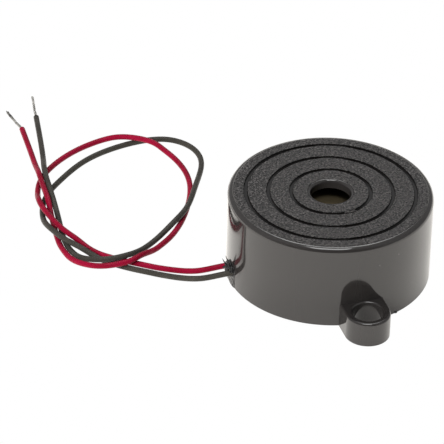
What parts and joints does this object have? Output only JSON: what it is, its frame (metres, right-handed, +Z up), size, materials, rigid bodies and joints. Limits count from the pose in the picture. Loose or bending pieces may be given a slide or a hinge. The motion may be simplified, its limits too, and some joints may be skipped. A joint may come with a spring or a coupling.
{
  "type": "piezo buzzer",
  "caption": "Round black piezo sounder with a top sound hole, screw ears on both sides, a sealed drive circuit and free red and black leads.",
  "frame": {"origin": "centre of the case's base, on the surface it stands on", "axes": "+Z up through the sound hole, the two ears along Y, the leads leave at -X"},
  "size_m": [0.0526, 0.077, 0.0132],
  "materials": {
    "case_plastic": "moulded ABS: glossy side, lightly textured top",
    "cover_plastic": "moulded, matt",
    "brass": "rolled, satin",
    "ceramic": "fired piezo ceramic",
    "silvering": "printed silver",
    "silicone": "cured silicone",
    "board": "glass-fibre board with solder resist",
    "moulded_body": "epoxy moulding",
    "tinned_metal": "tinned",
    "ferrite": "sintered ferrite",
    "enamelled_copper": "enamelled wire",
    "chip_ceramic": "fired ceramic",
    "wire_insulation": "thin insulated wire",
    "solder": "bright solder",
    "tinned_strands": "tinned copper strands",
    "sealant": "cured black adhesive, glossy",
    "red_insulation": "soft PVC, satin",
    "black_insulation": "soft PVC, satin"
  },
  "bodies": {
    "root": {"case": "case_plastic", "back_cover": "cover_plastic", "brass_plate": "brass", "ceramic_disc": "ceramic", "main_electrode": "silvering", "feedback_electrode": "silvering", "plate_bead": "silicone", "circuit_board": "board", "transistor": "moulded_body", "transistor_legs": "tinned_metal", "inductor_core": "ferrite", "inductor_winding": "enamelled_copper", "inductor_legs": "tinned_metal", "chip_resistors": "moulded_body", "chip_capacitor": "chip_ceramic", "chip_terminals": "tinned_metal", "plate_wire": "wire_insulation", "main_wire": "wire_insulation", "feedback_wire": "wire_insulation", "wire_joints": "solder", "board_joints": "solder", "lead_tails": "tinned_strands", "lead_sealant": "sealant", "red_lead": "red_insulation", "black_lead": "black_insulation", "red_strands": "tinned_strands", "black_strands": "tinned_strands"}
  },
  "joints": []
}
